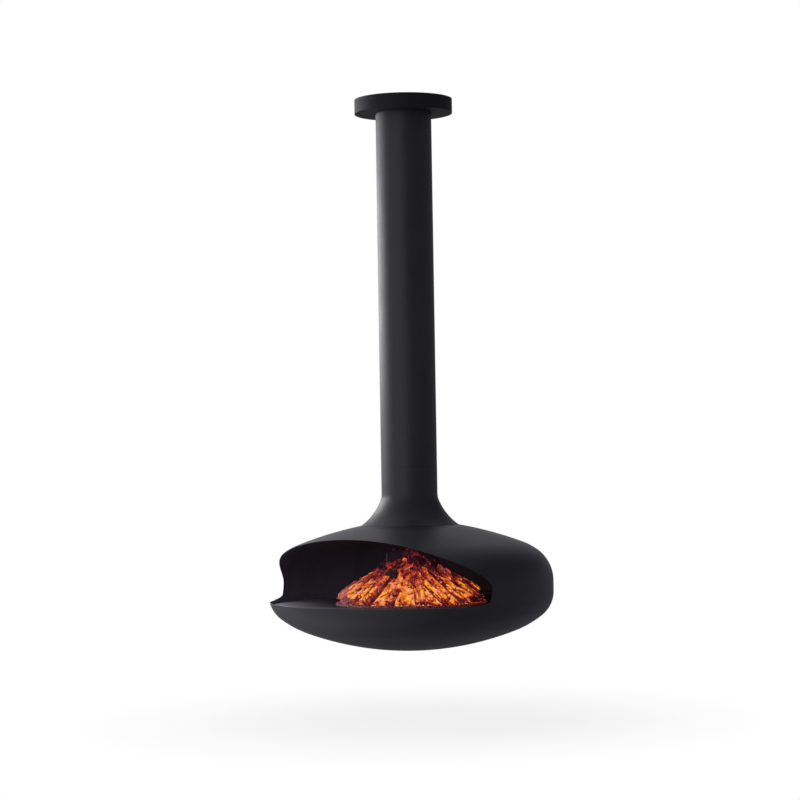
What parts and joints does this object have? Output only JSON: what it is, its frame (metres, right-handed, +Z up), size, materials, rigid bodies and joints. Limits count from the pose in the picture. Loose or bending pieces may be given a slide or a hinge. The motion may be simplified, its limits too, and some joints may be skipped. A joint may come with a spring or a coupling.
{
  "type": "hanging fireplace",
  "caption": "Suspended saucer-shaped wood fireplace with a lens-shaped mouth, turning on a round flue pipe below a flat ceiling rose.",
  "frame": {"origin": "centre of the ceiling's face, on the flue's axis, in the plane of the ceiling bolts' plate", "axes": "+Z up along the flue into the ceiling, the firebox's mouth faces -Y at rest, +X to the right of someone facing the mouth from outside"},
  "size_m": [1.244, 1.2398, 2.4109],
  "materials": {
    "black_paint": "matt heat-resistant black paint",
    "black_screws": "blackened steel",
    "floor_steel": "sooty, heat-dulled black steel",
    "primed_steel": "dark primer",
    "zinc_steel": "zinc plated",
    "stainless_steel": "plain stainless sheet",
    "heat_tinted_steel": "heat-tinted and sooty",
    "race_steel": "ground",
    "ball_steel": "polished",
    "cage_brass": "pressed brass",
    "seal_rope": "woven glass-fibre rope",
    "fibre_board": "pressed ceramic fibre",
    "knob_iron": "blackened",
    "tray_iron": "scaled by heat",
    "embers": "glowing embers and ash",
    "burning_wood": "charred, glowing split logs"
  },
  "bodies": {
    "ceiling_mount": {"ceiling_plate": "primed_steel", "flue_socket": "stainless_steel", "flue_seal": "seal_rope", "bearing_housing": "primed_steel", "housing_screws": "zinc_steel", "lower_race": "race_steel", "ceiling_rose": "black_paint", "rose_brackets": "primed_steel", "rose_screws": "black_screws"},
    "ball_race": {"ball_cage": "cage_brass", "bearing_balls": "ball_steel"},
    "fireplace": {"upper_race": "race_steel", "pivot_flange": "primed_steel", "flue_pipe": "black_paint", "pipe_sleeve": "primed_steel", "neck": "black_paint", "neck_ring": "primed_steel", "neck_bolts": "zinc_steel", "neck_nuts": "zinc_steel", "hood": "black_paint", "bowl": "black_paint", "hearth_plate": "floor_steel", "floor_brackets": "primed_steel", "floor_screws": "black_screws", "insulation_board": "fibre_board", "damper_bushes": "primed_steel"},
    "damper": {"damper_plate": "heat_tinted_steel", "damper_shaft": "heat_tinted_steel", "damper_screws": "zinc_steel", "damper_nuts": "zinc_steel", "damper_lever": "heat_tinted_steel", "damper_knob": "knob_iron"},
    "fire": {"fire_tray": "tray_iron", "ember_bed": "embers", "long_log_1": "burning_wood", "long_log_2": "burning_wood", "long_log_3": "burning_wood", "long_log_4": "burning_wood", "long_log_5": "burning_wood", "long_log_6": "burning_wood", "long_log_7": "burning_wood", "long_log_8": "burning_wood", "short_log_1": "burning_wood", "short_log_2": "burning_wood", "short_log_3": "burning_wood", "short_log_4": "burning_wood", "short_log_5": "burning_wood", "short_log_6": "burning_wood", "short_log_7": "burning_wood", "short_log_8": "burning_wood", "top_log_1": "burning_wood", "top_log_2": "burning_wood", "top_log_3": "burning_wood", "top_log_4": "burning_wood", "top_log_5": "burning_wood", "top_log_6": "burning_wood", "top_log_7": "burning_wood", "top_log_8": "burning_wood"}
  },
  "joints": [
    {"name": "swivel", "type": "hinge", "parent": "ceiling_mount", "child": "fireplace", "pos_m": [0, 0, -0.039], "axis": [0, 0, 1], "continuous": true},
    {"name": "cage_spin", "type": "hinge", "parent": "ceiling_mount", "child": "ball_race", "pos_m": [0, 0, -0.039], "axis": [0, 0, 1], "continuous": true},
    {"name": "damper_turn", "type": "hinge", "parent": "fireplace", "child": "damper", "pos_m": [0, 0, -1.72134], "axis": [1, 0, 0], "range_deg": [0, 90]},
    {"name": "tray_slide", "type": "slide", "parent": "fireplace", "child": "fire", "axis": [0, -1, 0], "range_m": [0, 0.26]}
  ],
  "couplings": [
    {"joint": "cage_spin", "follows": "swivel", "ratio": 0.5}
  ]
}
